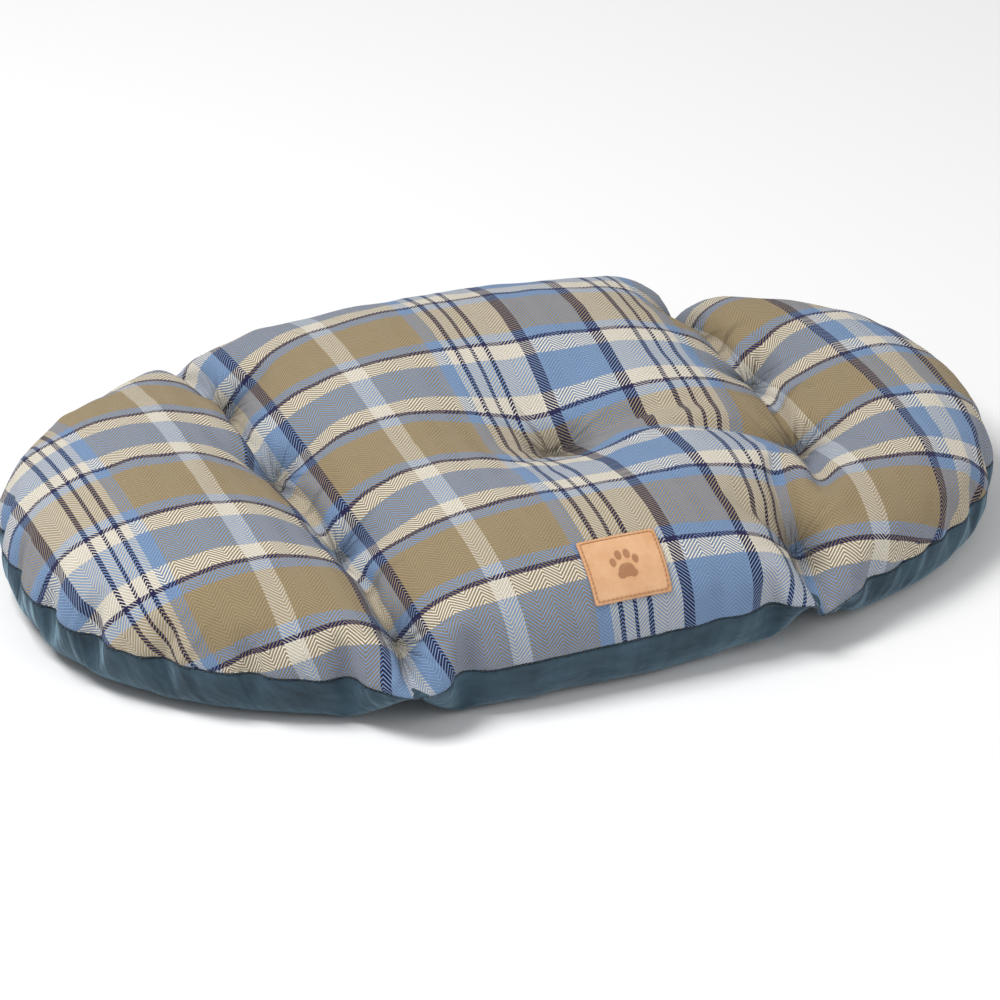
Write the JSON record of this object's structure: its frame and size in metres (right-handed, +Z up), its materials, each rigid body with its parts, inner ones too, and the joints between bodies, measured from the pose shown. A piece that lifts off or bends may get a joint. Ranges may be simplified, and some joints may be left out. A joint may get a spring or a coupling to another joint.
{
  "type": "pet cushion bed",
  "caption": "Oval tufted pet cushion: woven check panel above, velvet panel below, fibre filling, and a leather patch at the front.",
  "frame": {"origin": "on the floor, under the middle of the cushion", "axes": "+X along the cushion's length, to the right when it is seen from the patch's side; +Y away from the patched front edge; +Z up"},
  "size_m": [0.65, 0.42, 0.1075],
  "materials": {
    "woven_check": "matt herringbone weave",
    "velvet": "short soft pile",
    "polyester_fibre": "matt",
    "tuft_yarn": "matt",
    "seam_yarn": "matt",
    "tan_leather": "satin",
    "patch_yarn": "matt"
  },
  "bodies": {
    "root": {"top_cover": "woven_check", "bottom_cover": "velvet", "fibre_filling": "polyester_fibre", "edge_seam_thread": "seam_yarn", "tuft_stitch_1": "tuft_yarn", "tuft_stitch_2": "tuft_yarn", "tuft_stitch_3": "tuft_yarn", "tuft_stitch_4": "tuft_yarn", "tuft_stitch_5": "tuft_yarn", "tuft_stitch_6": "tuft_yarn", "tuft_stitch_7": "tuft_yarn", "tuft_stitch_8": "tuft_yarn", "tuft_stitch_9": "tuft_yarn", "leather_patch": "tan_leather", "patch_stitching": "patch_yarn"}
  },
  "joints": []
}
